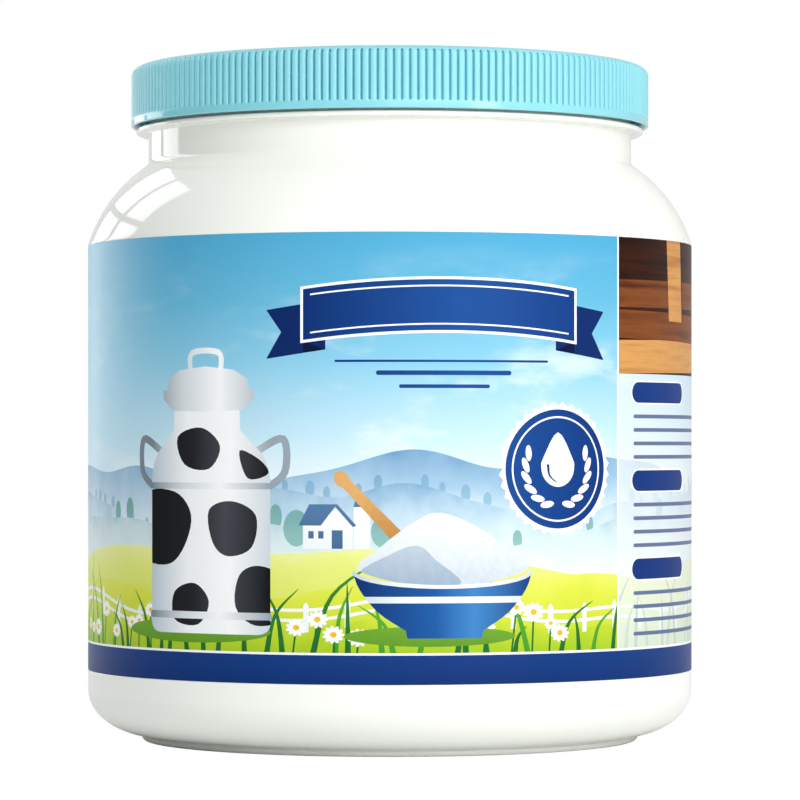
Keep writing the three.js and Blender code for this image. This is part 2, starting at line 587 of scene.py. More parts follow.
def box(left, bottom, right, top, corner=0.0, steps=5):
    """A rectangle, with its corners rounded where a radius is given."""
    if not corner:
        return [(left, bottom), (right, bottom), (right, top), (left, top)]
    points = []
    spots = ((right - corner, top - corner), (left + corner, top - corner))
    spots += ((left + corner, bottom + corner), (right - corner, bottom + corner))
    for quarter, centre in enumerate(spots):
        points += arc(centre, (corner, corner), 90 * quarter, 90 * quarter + 90, steps)
    return points


def oval(centre, radii, steps=32, turn=0.0):
    """An ellipse, turned by an angle in degrees."""
    points = []
    for s, z in arc((0, 0), radii, 0, 360 * (1 - 1 / steps), steps - 1):
        points.append(turn_about((centre[0] + s, centre[1] + z), centre, turn))
    return points


def turn_about(point, centre, degrees):
    angle = math.radians(degrees)
    s, z = point[0] - centre[0], point[1] - centre[1]
    turned_s = s * math.cos(angle) - z * math.sin(angle)
    turned_z = s * math.sin(angle) + z * math.cos(angle)
    return (centre[0] + turned_s, centre[1] + turned_z)


def through(points, steps=5, closed=True):
    """A smooth curve through the points."""
    count = len(points)
    curve = []
    for i in range(count if closed else count - 1):
        p0, p1, p2, p3 = (points[k % count] if closed else points[max(0, min(count - 1, k))]
                          for k in (i - 1, i, i + 1, i + 2))
        for step in range(steps):
            t = step / steps
            curve.append(tuple(
                0.5 * (2 * b + (c - a) * t + (2 * a - 5 * b + 4 * c - d) * t * t
                       + (3 * b - a - 3 * c + d) * t * t * t)
                for a, b, c, d in zip(p0, p1, p2, p3)))
    if not closed:
        curve.append(points[-1])
    return curve


def stroke(points, width, end_width=None):
    """A line of points as a narrow field, which can taper."""
    end_width = width if end_width is None else end_width
    left, right = [], []
    for i, (s, z) in enumerate(points):
        before = points[max(0, i - 1)]
        after = points[min(len(points) - 1, i + 1)]
        along = Vector((after[0] - before[0], after[1] - before[1])).normalized()
        half = (width + (end_width - width) * i / (len(points) - 1)) / 2
        left.append((s - along.y * half, z + along.x * half))
        right.append((s + along.y * half, z - along.x * half))
    return left + right[::-1]


def mirrored(half_outline, centre, base):
    """A shape from the (half width, height) pairs of one side."""
    right = [(centre + across, base + up) for across, up in half_outline]
    left = [(centre - across, base + up) for across, up in reversed(half_outline) if across > 0]
    return right + left


def moved(points, s, z, side=1):
    """Points shifted to a place, and mirrored where side is -1."""
    return [(s + side * across, z + up) for across, up in points]


def rolling(base, waves):
    """Land from the label's foot up to a line of waves, which closes on itself round the jar."""
    left, right = SEAM - 2, FILM_END + 2
    foot = LABEL_BOTTOM - 1
    spots = [left + (right - left) * step / 260 for step in range(261)]
    return [(s, height_on(base, waves, s)) for s in spots] + [(right, foot), (left, foot)]


def height_on(base, waves, s):
    return base + sum(size * math.sin(turns * s / BODY_RADIUS + phase) for size, turns, phase in waves)


FAR_HILLS = (63.0, ((3.2, 3, 0.4), (2.2, 7, 1.9), (1.0, 13, 0.3)))
MID_HILLS = (56.0, ((3.4, 4, 2.2), (1.8, 9, 0.2), (0.7, 17, 1.1)))
NEAR_HILLS = (49.5, ((2.6, 3, 4.1), (1.8, 6, 2.9), (0.6, 14, 2.0)))
FAR_MEADOW = (43.0, ((3.0, 2, 2.6), (1.6, 5, 0.9)))
MID_MEADOW = (37.0, ((2.6, 3, 0.2), (1.3, 7, 2.5)))
FENCE_POSTS = 48
FRONT_MEADOW = (29.5, ((1.8, 4, 1.2), (1.1, 9, 0.4)))


def draw_land():
    draw("sky", box(SEAM - 1, LABEL_BOTTOM - 1, FILM_END + 1, LABEL_TOP + 1))
    draw("far_hills", rolling(*FAR_HILLS))
    draw_trees("far_trees", MID_HILLS, 90, 1.5)
    draw("mid_hills", rolling(*MID_HILLS))
    draw_trees("near_trees", NEAR_HILLS, 44, 2.4)
    draw("near_hills", rolling(*NEAR_HILLS))
    draw("far_meadow", rolling(*FAR_MEADOW))
    draw("mid_meadow", rolling(*MID_MEADOW))
    draw_farm(-13.0)
    draw_farm(150.0)
    draw("front_meadow", rolling(*FRONT_MEADOW))
    draw_fence()


def draw_farm(s):
    """A barn with a silo on the hill."""
    z = height_on(*FAR_MEADOW, s) + 1.5
    draw("near_trees", oval((s - 7.5, z + 3.4), (3.0, 4.0), 16))
    draw("near_trees", oval((s + 11.5, z + 2.6), (2.6, 3.4), 16))
    draw("farm_wall", box(s + 5.2, z - 1, s + 8.8, z + 8.0))
    draw("farm_roof", mirrored([(1.9, 0.0), (1.5, 1.3), (0, 2.0)], s + 7.0, z + 8.0))
    draw("farm_wall", moved([(-6, -1), (5, -1), (5, 4.6), (1.5, 8.0), (-2, 4.6), (-6, 4.6)], s, z))
    draw("farm_roof", moved([(-7, 4.0), (-2, 4.0), (1.5, 8.6), (-4.6, 8.6)], s, z))
    draw("farm_roof", moved([(5.8, 4.0), (5.0, 3.7), (1.0, 8.2), (1.6, 8.6)], s, z))
    draw("farm_roof", box(s + 0.4, z - 1, s + 2.8, z + 3.0))
    for window in (-4.8, -2.6):
        draw("farm_roof", box(s + window, z + 1.2, s + window + 1.2, z + 2.8))


def draw_fence():
    """A white fence along the front of the meadow."""
    spots = [SEAM + ROUND * k / 160 for k in range(-1, 164)]
    for rail in (1.6, 3.8):
        draw("fence", stroke([(s, height_on(*FRONT_MEADOW, s) + rail) for s in spots], 0.7))
    for post in range(FENCE_POSTS + 1):
        s = SEAM + ROUND / FENCE_POSTS * post
        ground = height_on(*FRONT_MEADOW, s)
        draw("fence", moved([(-0.6, -1), (0.6, -1), (0.6, 4.8), (0, 5.5), (-0.6, 4.8)], s, ground))


def draw_trees(ink, hills, count, size):
    """A loose row of round-headed trees along the top of a hill."""
    rng = random.Random(count)
    for tree in range(count):
        s = SEAM + ROUND * (tree + rng.uniform(0.15, 0.85)) / count
        if rng.random() < 0.35:
            continue
        tall = size * rng.uniform(0.75, 1.35)
        foot = height_on(*hills, s)
        draw(ink, oval((s, foot + tall * 0.6), (tall * 0.55, tall), 12))


def draw_grass():
    """Blades that rise from the foot band, in two greens."""
    rng = random.Random(31)
    count = 88
    for blade in range(count):
        s = SEAM + ROUND * (blade + rng.uniform(0.0, 1.0)) / count
        tall = rng.choice((8.0, 11.0, 14.0, 21.0)) * rng.uniform(0.8, 1.15)
        lean = rng.uniform(-0.75, 0.75) * tall
        root = (s, NAVY_TOP - 1.0)
        middle = (s + lean * 0.28, NAVY_TOP + tall * 0.55)
        tip = (s + lean, NAVY_TOP + tall * (1.0 - 0.12 * abs(lean) / tall))
        curve = through([root, middle, tip], 6, closed=False)
        draw(rng.choice(("blade_dark", "blade_dark", "blade_light")), stroke(curve, 1.5, 0.12))


def draw_daisy(centre, size, turn):
    petals = 11
    points = []
    steps = petals * 6
    for step in range(steps):
        angle = math.tau * step / steps + math.radians(turn)
        reach = size * (0.62 + 0.38 * abs(math.cos(petals * angle / 2)) ** 0.7)
        points.append((centre[0] + reach * math.cos(angle), centre[1] + 0.8 * reach * math.sin(angle)))
    draw("petal", points)
    draw("daisy_middle", oval(centre, (size * 0.3, size * 0.25), 14))


def draw_daisies():
    rng = random.Random(7)
    groups = ((-84, 5), (-62, 3), (-12, 4), (34, 5), (-150, 6), (-196, 5), (168, 5), (205, 4))
    for middle, count in groups:
        for flower in range(count):
            s = middle + (flower - count / 2) * rng.uniform(4.0, 5.6)
            tall = rng.uniform(3.5, 11.5)
            head = (s + rng.uniform(-1.5, 1.5), NAVY_TOP + tall)
            draw("blade_dark", stroke(through([(s, NAVY_TOP - 1), head], 3, closed=False), 0.45))
            draw_daisy(head, rng.uniform(1.7, 2.7), rng.uniform(0, 60))


# The milk churn of the front picture
CHURN_MIDDLE = -43.0
CHURN_FOOT = 27.0
CHURN_HALF_WIDTH = 16.5
# Black patches on the enamel, as smooth blobs in (across, up) from the churn's foot
CHURN_PATCHES = (
    ((-19, 30), (-9, 31), (-4, 26), (-6, 19), (-11, 15), (-19, 17)),
    ((1, 27), (7, 29), (13, 26), (12, 19), (6, 17), (2, 20)),
    ((9, 13), (14, 15), (20, 12), (20, 4), (13, 2), (8, 6)),
    ((-9, 9), (-3, 11), (1, 7), (-2, 2), (-9, 3)),
    ((-8, 43), (-1, 45), (4, 41), (1, 36), (-6, 37)),
    ((9, 40), (14, 38), (16, 35), (11, 34)),
)


def draw_churn():
    s, z = CHURN_MIDDLE, CHURN_FOOT
    wide = CHURN_HALF_WIDTH
    draw("meadow_shade", oval((s - 4, z + 0.6), (wide * 1.25, 2.6)))
    for side in (-1, 1):
        grip = moved([(wide - 3.0, 40), (wide + 3.0, 42.5), (wide + 3.4, 35.5), (wide - 0.6, 32)], s, z, side)
        draw("churn_steel", stroke(through(grip, 6, closed=False), 1.7))
    half = [(0, 0.0)] + arc((wide - 3, 2.2), (3, 2.2), -90, 0, 4)
    half += arc((wide - 7, 33), (7, 9), 0, 62, 7)
    half += [(9.2, 44.5), (9.0, 49.5), (0, 49.5)]
    body = draw("churn_enamel", mirrored(half, s, z))
    for patch in CHURN_PATCHES:
        draw("churn_patch", through(moved(patch, s, z), 5), inside=body)
    draw("churn_steel", box(s - wide - 0.4, z + 3.2, s + wide + 0.4, z + 4.8, 0.7, 3))
    draw("churn_steel", box(s - wide - 0.3, z + 31.6, s + wide + 0.3, z + 33.0, 0.6, 3))
    draw("churn_steel", mirrored([(0, 48.5), (9.6, 48.8), (12.4, 51.2), (12.6, 53.2), (0, 53.6)], s, z))
    draw("churn_cap", mirrored([(0, 53.2), (11.2, 53.2), (11.0, 55.6), (7.5, 57.6), (0, 58.4)], s, z))
    handle = moved([(-4.2, 57.6), (-3.6, 61.4), (3.6, 61.4), (4.2, 57.6)], s, z)
    draw("churn_steel", stroke(through(handle, 5, closed=False), 1.3))


# The bowl of powder
BOWL_MIDDLE = 12.0
BOWL_FOOT = 26.5
BOWL_HALF_WIDTH = 20.0


def draw_bowl():
    s, z = BOWL_MIDDLE, BOWL_FOOT
    wide = BOWL_HALF_WIDTH
    rim = z + 14.5
    draw("meadow_shade", oval((s - 3, z + 0.4), (wide * 0.95, 2.2)))
    draw("scoop_wood", stroke([(s - 8, rim + 5), (s - 22, rim + 19.5)], 3.0, 2.2))
    draw("scoop_wood", oval((s - 22.4, rim + 19.8), (2.0, 1.6), 16, -45))
    heap = [(1.5 - wide, 0), (wide * -0.7, 5.2), (wide * -0.32, 10.8), (-1, 12.6), (wide * 0.35, 9.6)]
    heap = moved(heap + [(wide * 0.72, 4.6), (wide - 1.5, 0), (0, -3.6)], s, rim)
    heap_field = draw("powder", through(heap, 6))
    shade = [(2 - wide, -1), (wide * -0.6, 3.6), (wide * -0.3, 5.5), (wide * -0.1, 2.4), (wide * 0.15, -3)]
    draw("powder_shade", through(moved(shade, s, rim), 5), inside=heap_field)
    side = through([(8.8, 1.8), (14.5, 5.6), (18.6, 10.6), (wide, 14.5)], 4, closed=False)
    half = [(0, 0.0), (8.2, 0.0), (8.6, 1.8)] + side
    lip = arc((0, 14.5), (wide, 3.4), 0, -90, 10)
    bowl = draw("bowl_blue", mirrored(half + lip[1:], s, z))
    draw("bowl_band", box(s - wide - 1, z + 7.6, s + wide + 1, z + 9.0), inside=bowl)
    draw("bowl_band", stroke(arc((s, rim), (wide, 3.4), -180, 0, 15), 0.8))


# The bare ribbon, rules and medallion
RIBBON_MIDDLE = 12.0
RIBBON_HEIGHT = 98.5


def bowed(outline):
    """Bends the ribbon gently upwards in the middle."""
    return [(s, z - 0.0022 * (s - RIBBON_MIDDLE) ** 2) for s, z in outline]


def ribbon_band(half_length, bottom, top, steps=16):
    s, z = RIBBON_MIDDLE, RIBBON_HEIGHT
    lower = [(s - half_length + 2 * half_length * k / steps, z + bottom) for k in range(steps + 1)]
    upper = [(s + half_length - 2 * half_length * k / steps, z + top) for k in range(steps + 1)]
    return bowed(lower + upper)


def draw_ribbon():
    s, z = RIBBON_MIDDLE, RIBBON_HEIGHT
    for side in (-1, 1):
        tail = [(26, -8.2), (39.5, -8.2), (36.0, -3.0), (39.5, 2.4), (26, 2.4)]
        draw("ribbon_tail", bowed(moved(tail, s, z, side)))
        fold = [(26, -8.2), (31, -8.2), (31, -5.6)]
        draw("ribbon_fold", bowed(moved(fold, s, z, side)))
    draw("white", ribbon_band(31.6, -6.1, 6.1))
    draw("ribbon", ribbon_band(31.0, -5.5, 5.5))
    for line in (-4.3, 3.95):
        draw("white", ribbon_band(29.4, line, line + 0.35))
    draw("ribbon", box(s - 24, z - 12.4, s + 24, z - 11.9, 0.2, 2))
    draw("ribbon", box(s - 15, z - 15.2, s + 15, z - 14.2, 0.45, 3))
    draw("ribbon", box(s - 10, z - 18.0, s + 10, z - 17.2, 0.35, 3))


MEDALLION = (38.6, 63.0)


def draw_medallion():
    """A navy disc with a toothed white rim, and a drop over two ears of grain."""
    s, z = MEDALLION
    teeth = [(s + reach * math.cos(a), z + reach * math.sin(a))
             for a, reach in ((math.tau * k / 72, 14.6 if k % 2 else 13.7) for k in range(72))]
    draw("white", teeth)
    for ink, radius in (("ribbon", 13.0), ("white", 11.5), ("ribbon", 11.1)):
        draw(ink, oval(MEDALLION, (radius, radius), 64))
    half = arc((0, 0.4), (4.3, 4.3), math.degrees(0.45), math.degrees(-1.35), 4)
    drop = [(0, 8.0)] + half + [(-across, up) for across, up in reversed(half)]
    draw("white", through(moved(drop, s, z), 4))
    gleam = moved([(-2.6, 1.0), (-2.2, -1.4), (-0.4, -2.9)], s, z)
    draw("bowl_blue", stroke(through(gleam, 4, closed=False), 0.7, 0.2))
    for side in (-1, 1):
        for leaf in range(6):
            angle = math.radians(-90 + side * (20 + 19 * leaf))
            spot = (s + 8.2 * math.cos(angle), z + 8.2 * math.sin(angle))
            draw("white", oval(spot, (1.75, 0.75), 14, math.degrees(angle) + side * 62))


def draw_info_panel():
    """Planks above, and below them a translucent white panel with bare navy pills and plain bars."""
    left, right = INFO_LEFT, INFO_RIGHT
    wood = draw("wood_dark", box(left, WOOD_BOTTOM, right, LABEL_TOP + 1))
    boards = ((84.0, 91.4, "wood_light", 1.4), (91.9, 98.2, "wood_mid", -1.0), (98.7, 104.8, "wood_mid", 0.8))
    for low, high, ink, slope in boards:
        board = [(left - 1, low), (right + 1, low + slope), (right + 1, high + slope), (left - 1, high)]
        draw(ink, board, inside=wood)
    for s in (78.0, 110.0):
        post = [(s, 96.0), (s + 9, 96.0), (s + 7.5, 116.0), (s - 1.5, 116.0)]
        draw("wood_light", post, inside=wood)
        draw("wood_line", stroke([(s + 9.3, 96.0), (s + 7.8, 116.0)], 0.7), inside=wood)
    draw("white", box(left - 0.25, NAVY_TOP, left + 0.25, LABEL_TOP + 1))
    for low in (77.6, 58.0, 38.4):
        draw("white", box(left + 4.6, low - 0.35, left + 31.4, low + 4.95, 2.6))
        draw("pill", box(left + 5.0, low, left + 31.0, low + 4.6, 2.3))
        for line, length in enumerate((64, 70, 46, 58)):
            top = low - 2.6 - 3.0 * line
            draw("bar", box(left + 5.5, top - 0.85, left + 5.5 + length, top, 0.4, 2))


def draw_table_panel():
    """On the back: a plain ruled table, three round pictures and a framed bare field."""
    left, right = -208.0, -152.0
    draw("white", box(left, 44.0, right, 106.0, 1.6))
    draw("pill", box(left + 1.2, 97.6, right - 1.2, 104.8, 1.0, 3))
    for row in range(9):
        low = 47.2 + row * 5.4
        draw("bar", box(left + 2.0, low, right - 2.0, low + 0.25))
        if row:
            for first, last in ((3.5, 20.0), (27.0, 36.0), (43.0, 50.0)):
                draw("bar_pale", box(left + first, low + 2.0, left + last, low + 3.2, 0.5, 2))
    for step, s in enumerate((158.0, 178.0, 198.0)):
        draw("white", oval((s, 88.0), (8.4, 8.4), 40))
        draw("pill", oval((s, 88.0), (7.6, 7.6), 40))
        draw_step_picture(step, s, 88.0)
    draw("white", box(150.0, 40.0, 206.0, 72.0, 2.0))
    draw("bar_pale", box(151.0, 41.0, 205.0, 71.0, 1.4))
    draw("white", box(151.5, 41.5, 204.5, 70.5, 1.1))


def draw_step_picture(step, s, z):
    """A scoop, a mug and a whisk, in plain white."""
    if step == 0:
        draw("white", stroke(moved([(0.6, 0.4), (4.6, 4.4)], s, z), 1.2))
        draw("white", through(moved([(-4.2, -1.2), (-0.6, 2.4), (1.2, -0.6), (-2.2, -3.8)], s, z), 5))
    elif step == 1:
        draw("white", mirrored([(0, -4.0), (2.9, -4.0), (3.3, -3.4), (3.6, 3.6), (0, 3.6)], s - 0.6, z))
        handle = moved([(2.8, 2.0), (5.2, 1.4), (5.0, -1.4), (2.6, -2.2)], s, z)
        draw("white", stroke(through(handle, 5, closed=False), 0.9))
    else:
        draw("white", stroke(moved([(1.4, 1.6), (4.4, 4.8)], s, z), 1.2))
        for spread in (-1.9, 0.0, 1.9):
            loop = [(1.4, 1.6), (-1.6 - spread, -1.0 - spread * 0.4), (-3.6, -3.6)]
            loop += [(-0.8 + spread * 0.5, -2.0 - spread * 0.8), (1.4, 1.6)]
            draw("white", stroke(through(moved(loop, s, z), 4, closed=False), 0.4))


def draw_foot_band():
    left, right = SEAM - 1, FILM_END + 1
    draw("white", box(left, NAVY_TOP, right, NAVY_TOP + HAIRLINE))
    draw("foot_band", box(left, LABEL_BOTTOM - 1, right, NAVY_TOP))


PANEL_INKS = (
    "sky", "far_hills", "mid_hills", "near_hills", "far_trees", "near_trees",
    "far_meadow", "mid_meadow", "front_meadow", "blade_dark", "blade_light", "petal", "daisy_middle",
    "farm_wall", "farm_roof", "fence",
)


STEEL = ((0, 120, 135, 146), (0.3, 214, 222, 227), (0.62, 250, 252, 253), (1, 150, 164, 174))
WHITE_SHADING = ((0, 188, 203, 214), (0.35, 246, 249, 250), (0.7, 252, 253, 253), (1, 205, 214, 221))
BLACK_SHADING = ((0, 10, 12, 16), (0.4, 34, 36, 42), (0.66, 70, 73, 80), (1, 16, 18, 22))
BLUE_SHADING = ((0, 10, 44, 104), (0.45, 28, 88, 160), (0.66, 64, 132, 196), (1, 16, 54, 120))
CHURN_SPAN = (CHURN_MIDDLE - CHURN_HALF_WIDTH, CHURN_MIDDLE + CHURN_HALF_WIDTH)
BOWL_SPAN = (BOWL_MIDDLE - BOWL_HALF_WIDTH, BOWL_MIDDLE + BOWL_HALF_WIDTH)

# How each ink changes: along s or z, from and to, its stops, and its mottle and the mottle's size
RECIPES = {
    "far_hills": ("z", 50, 70, ((0, 226, 238, 246), (0.5, 164, 198, 222), (1, 94, 146, 190)), 0.5, 9.0),
    "mid_hills": ("z", 44, 62, ((0, 234, 243, 248), (0.5, 190, 216, 232), (1, 112, 162, 198)), 0.6, 7.0),
    "near_hills": ("z", 40, 56, ((0, 232, 242, 240), (0.6, 204, 225, 230), (1, 140, 184, 200)), 0.5, 6.0),
    "far_trees": ("z", 50, 64, ((0, 170, 204, 222), (1, 112, 162, 196)), 0.2, 3.0),
    "near_trees": ("z", 44, 60, ((0, 150, 196, 190), (1, 96, 154, 158)), 0.2, 3.0),
    "far_meadow": ("z", 34, 48, ((0, 214, 226, 96), (0.6, 228, 235, 128), (1, 238, 243, 176)), 0.4, 14.0),
    "mid_meadow": ("z", 26, 41, ((0, 192, 212, 46), (0.6, 216, 225, 72), (1, 229, 233, 104)), 0.5, 12.0),
    "front_meadow": ("z", 20, 33, ((0, 142, 186, 36), (0.6, 184, 209, 48), (1, 208, 222, 74)), 0.5, 9.0),
    "meadow_shade": ("z", 22, 32, ((0, 86, 140, 40), (1, 120, 172, 50)), 0.3, 4.0),
    "blade_dark": ("z", 22, 44, ((0, 30, 104, 44), (1, 54, 140, 52)), 0.3, 6.0),
    "blade_light": ("z", 22, 44, ((0, 64, 148, 44), (1, 112, 184, 60)), 0.3, 6.0),
    "petal": ("z", 22, 40, ((0, 240, 244, 246), (1, 253, 253, 251)), 0.2, 2.0),
    "daisy_middle": ("z", 22, 40, ((0, 236, 170, 24), (1, 252, 206, 52)), 0.4, 1.0),
    "churn_enamel": ("s", *CHURN_SPAN, WHITE_SHADING, 0.03, 6.0),
    "churn_patch": ("s", *CHURN_SPAN, BLACK_SHADING, 0.05, 3.0),
    "churn_steel": ("s", *CHURN_SPAN, STEEL, 0.03, 3.0),
    "churn_cap": ("s", *CHURN_SPAN, STEEL, 0.03, 3.0),
    "powder": ("z", 36, 54, ((0, 198, 210, 222), (0.5, 224, 231, 237), (1, 241, 244, 246)), 0.5, 1.6),
    "powder_shade": ("z", 38, 50, ((0, 158, 178, 198), (1, 198, 211, 223)), 0.5, 1.6),
    "bowl_blue": ("s", *BOWL_SPAN, BLUE_SHADING, 0.04, 5.0),
    "bowl_band": ("s", *BOWL_SPAN, WHITE_SHADING, 0.03, 5.0),
    "scoop_wood": ("z", 44, 58, ((0, 176, 116, 58), (1, 222, 170, 104)), 0.5, 2.0),
    "ribbon": ("s", -20, 52, ((0, 12, 46, 110), (0.5, 24, 78, 152), (1, 16, 54, 122)), 0.05, 20.0),
    "ribbon_tail": ("s", -30, 54, ((0, 12, 40, 98), (1, 12, 44, 104)), 0.05, 10.0),
    "ribbon_fold": ("s", -30, 54, ((0, 6, 22, 58), (1, 6, 24, 62)), 0.05, 10.0),
    "white": ("z", 16, 115, ((0, 250, 251, 250), (1, 253, 254, 254)), 0.1, 20.0),
    "pill": ("z", 16, 115, ((0, 14, 48, 118), (1, 20, 58, 130)), 0.1, 20.0),
    "bar": ("z", 16, 115, ((0, 96, 112, 150), (1, 104, 118, 152)), 0.1, 2.0),
    "bar_pale": ("z", 16, 115, ((0, 168, 180, 204), (1, 172, 184, 206)), 0.1, 2.0),
    "farm_wall": ("z", 40, 58, ((0, 226, 234, 238), (1, 252, 252, 250)), 0.3, 3.0),
    "farm_roof": ("z", 40, 58, ((0, 58, 92, 132), (1, 88, 126, 168)), 0.3, 3.0),
    "fence": ("z", 22, 40, ((0, 222, 230, 234), (1, 252, 253, 252)), 0.2, 2.0),
    "foot_band": ("z", 16, 23, ((0, 14, 48, 112), (1, 20, 60, 128)), 0.2, 20.0),
    "wood_line": ("z", 84, 115, ((0, 34, 12, 4), (1, 24, 8, 3)), 0.3, 3.0),
}


def make_inks():
    inks["sky"] = sky_ink()
    for name, recipe in RECIPES.items():
        inks[name] = printed("ink_" + name, *recipe)[0]
    inks["wood_dark"] = wood_ink("ink_wood_dark", (22, 8, 3), (58, 26, 12))
    inks["wood_mid"] = wood_ink("ink_wood_mid", (70, 34, 16), (132, 74, 36))
    inks["wood_light"] = wood_ink("ink_wood_light", (168, 104, 50), (216, 158, 92))
    for name in PANEL_INKS:
        inks["pale_" + name] = paled("ink_pale_" + name, inks[name], 0.68, rgb(228, 235, 240))


# The sheet of film

FILM_STEP = 2.0
UNDERLAP = 0.13
UNDERLAP_EASE = 5.0


def film_radius(s):
    """The film's own radius: its first edge lies under the last one, where they overlap at the back."""
    under = 1 - smooth_step(SEAM + OVERLAP, SEAM + OVERLAP + UNDERLAP_EASE, s)
    over = smooth_step(SEAM + ROUND - UNDERLAP_EASE, SEAM + ROUND, s)
    return BODY_RADIUS - 0.02 - UNDERLAP * under * 0.5 + UNDERLAP * over * 0.5


def film_point(s, z, inset=0.0):
    angle = s / BODY_RADIUS
    radius = film_radius(s) - inset
    return (radius * math.sin(angle) * MM, -radius * math.cos(angle) * MM, z * MM)


def cut_film():
    """Cuts the flat film along every outline, and every few millimetres for its bend."""
    left, right = SEAM, FILM_END
    points, lines = [], []
    for outline in outlines + [box(left, LABEL_BOTTOM, right, LABEL_TOP)]:
        first = len(points)
        points += [Vector(point) for point in outline]
        lines += [(first + k, first + (k + 1) % len(outline)) for k in range(len(outline))]
    columns = round((right - left) / FILM_STEP)
    for column in range(1, columns):
        s = left + (right - left) * column / columns
        lines.append((len(points), len(points) + 1))
        points += [Vector((s, LABEL_BOTTOM)), Vector((s, LABEL_TOP))]
    verts, _, faces, _, _, _ = delaunay_2d_cdt(points, lines, [], 0, 1e-5, False)
    verts = np.array([tuple(vert) for vert in verts])
    faces = np.array(faces)
    middles = verts[faces].mean(1)
    kept = (middles > (left, LABEL_BOTTOM)).all(1) & (middles < (right, LABEL_TOP)).all(1)
    return verts, faces[kept], middles[kept]


def covered(outline, spots):
    """Which of the spots an outline goes round."""
    first = np.array(outline)
    after = np.roll(first, -1, 0)
    near = np.flatnonzero(((spots >= first.min(0)) & (spots <= first.max(0))).all(1))
    s, z = spots[near, 0][:, None], spots[near, 1][:, None]
    rise = after[:, 1] - first[:, 1]
    slope = (after[:, 0] - first[:, 0]) / np.where(rise == 0, 1, rise)
    crossed = ((first[:, 1] > z) != (after[:, 1] > z)) & (s < first[:, 0] + (z - first[:, 1]) * slope)
    found = np.zeros(len(spots), bool)
    found[near] = (crossed * np.sign(rise)).sum(1) != 0
    return found


def ink_each(spots):
    """The ink on top at each spot, paler in the two translucent panels."""
    fields = [covered(outline, spots) for outline in outlines]
    top = np.zeros(len(spots), int)
    for k, (_, inside) in enumerate(layers):
        top[fields[k] if inside is None else fields[k] & fields[inside]] = k
    names = [layers[k][0] for k in top]
    under = (spots[:, 1] > NAVY_TOP) & ((spots[:, 0] > INFO_LEFT) | (spots[:, 0] < TABLE_RIGHT))
    return ["pale_" + name if pale and name in PANEL_INKS else name for name, pale in zip(names, under)]


def make_label():
    draw_land()
    draw_grass()
    draw_daisies()
    draw_churn()
    draw_bowl()
    draw_ribbon()
    draw_medallion()
    draw_info_panel()
    draw_table_panel()
    draw_foot_band()
    make_inks()
    flat, triangles, middles = cut_film()
    colours = ink_each(middles)
    used, places = np.unique(triangles, return_inverse=True)
    flat = flat[used].tolist()
    triangles = [tuple(triangle) for triangle in places.reshape(-1, 3).tolist()]
    count = len(flat)
    verts = [film_point(s, z) for s, z in flat] + [film_point(s, z, FILM_THICKNESS) for s, z in flat]
    faces = list(triangles)
    faces += [tuple(k + count for k in reversed(triangle)) for triangle in triangles]
    faces += film_rims(triangles, count)
    names = sorted(set(colours))
    slots = [names.index(ink) for ink in colours]
    slots += [names.index("white")] * (len(faces) - len(triangles))
    mesh = bpy.data.meshes.new("label_film")
    mesh.from_pydata(verts, [], faces)
    for name in names:
        mesh.materials.append(inks[name])
    mesh.polygons.foreach_set("material_index", slots)
    mesh.shade_smooth()
    sheet = mesh.uv_layers.new(name="print")
    corners = np.empty(len(mesh.loops), int)
    mesh.loops.foreach_get("vertex_index", corners)
    sheet.data.foreach_set("uv", (np.array(flat)[corners % count] * MM).ravel())
    set_film_normals(mesh, flat, count, 2 * len(triangles))
    add_piece("label_film", mesh, "label")


def film_rims(triangles, count):
    """Narrow faces that close the film's cut edges."""
    edges = {}
    for triangle in triangles:
        edges.update(dict.fromkeys(zip(triangle, triangle[1:] + triangle[:1])))
    return [(b, a, a + count, b + count) for a, b in edges if (b, a) not in edges]


def set_film_normals(mesh, flat, count, sides):
    """Exact normals of the curved film, so that its small triangles don't show in the gloss."""
    outward = []
    for s, _ in flat:
        slope = (film_radius(s + 0.05) - film_radius(s - 0.05)) / 0.1
        across, away = math.sin(s / BODY_RADIUS), -math.cos(s / BODY_RADIUS)
        outward.append(Vector((across + slope * away, away - slope * across, 0.0)).normalized())
    at_point = outward + [-normal for normal in outward]
    normals = []
    for polygon in mesh.polygons:
        if polygon.index < sides:
            normals += [at_point[k] for k in polygon.vertices]
        else:
            normals += [polygon.normal.copy()] * len(polygon.vertices)
    mesh.normals_split_custom_set(normals)


# Stage, light and camera

def add_floor(name, height, albedo, glow, seen):
    """A pale floor. One is seen by the camera, and the other gives the jar its light from below."""
    half = 4.0
    mesh = bpy.data.meshes.new(name)
    corners = [(-half, -half, 0), (half, -half, 0), (half, half, 0), (-half, half, 0)]
    mesh.from_pydata(corners, [], [(0, 1, 2, 3)])
    material, tree, shader = start_material(name, {"Roughness": 1.0, "Specular IOR Level": 0.0})
    shader.inputs["Base Color"].default_value = plain(albedo)
    shader.inputs["Emission Color"].default_value = plain(1)
    shader.inputs["Emission Strength"].default_value = glow
    mesh.materials.append(material)
    floor = bpy.data.objects.new(name, mesh)
    floor.location.z = height
    bpy.context.scene.collection.objects.link(floor)
    floor.visible_camera = seen
    floor.visible_diffuse = floor.visible_glossy = floor.visible_shadow = not seen


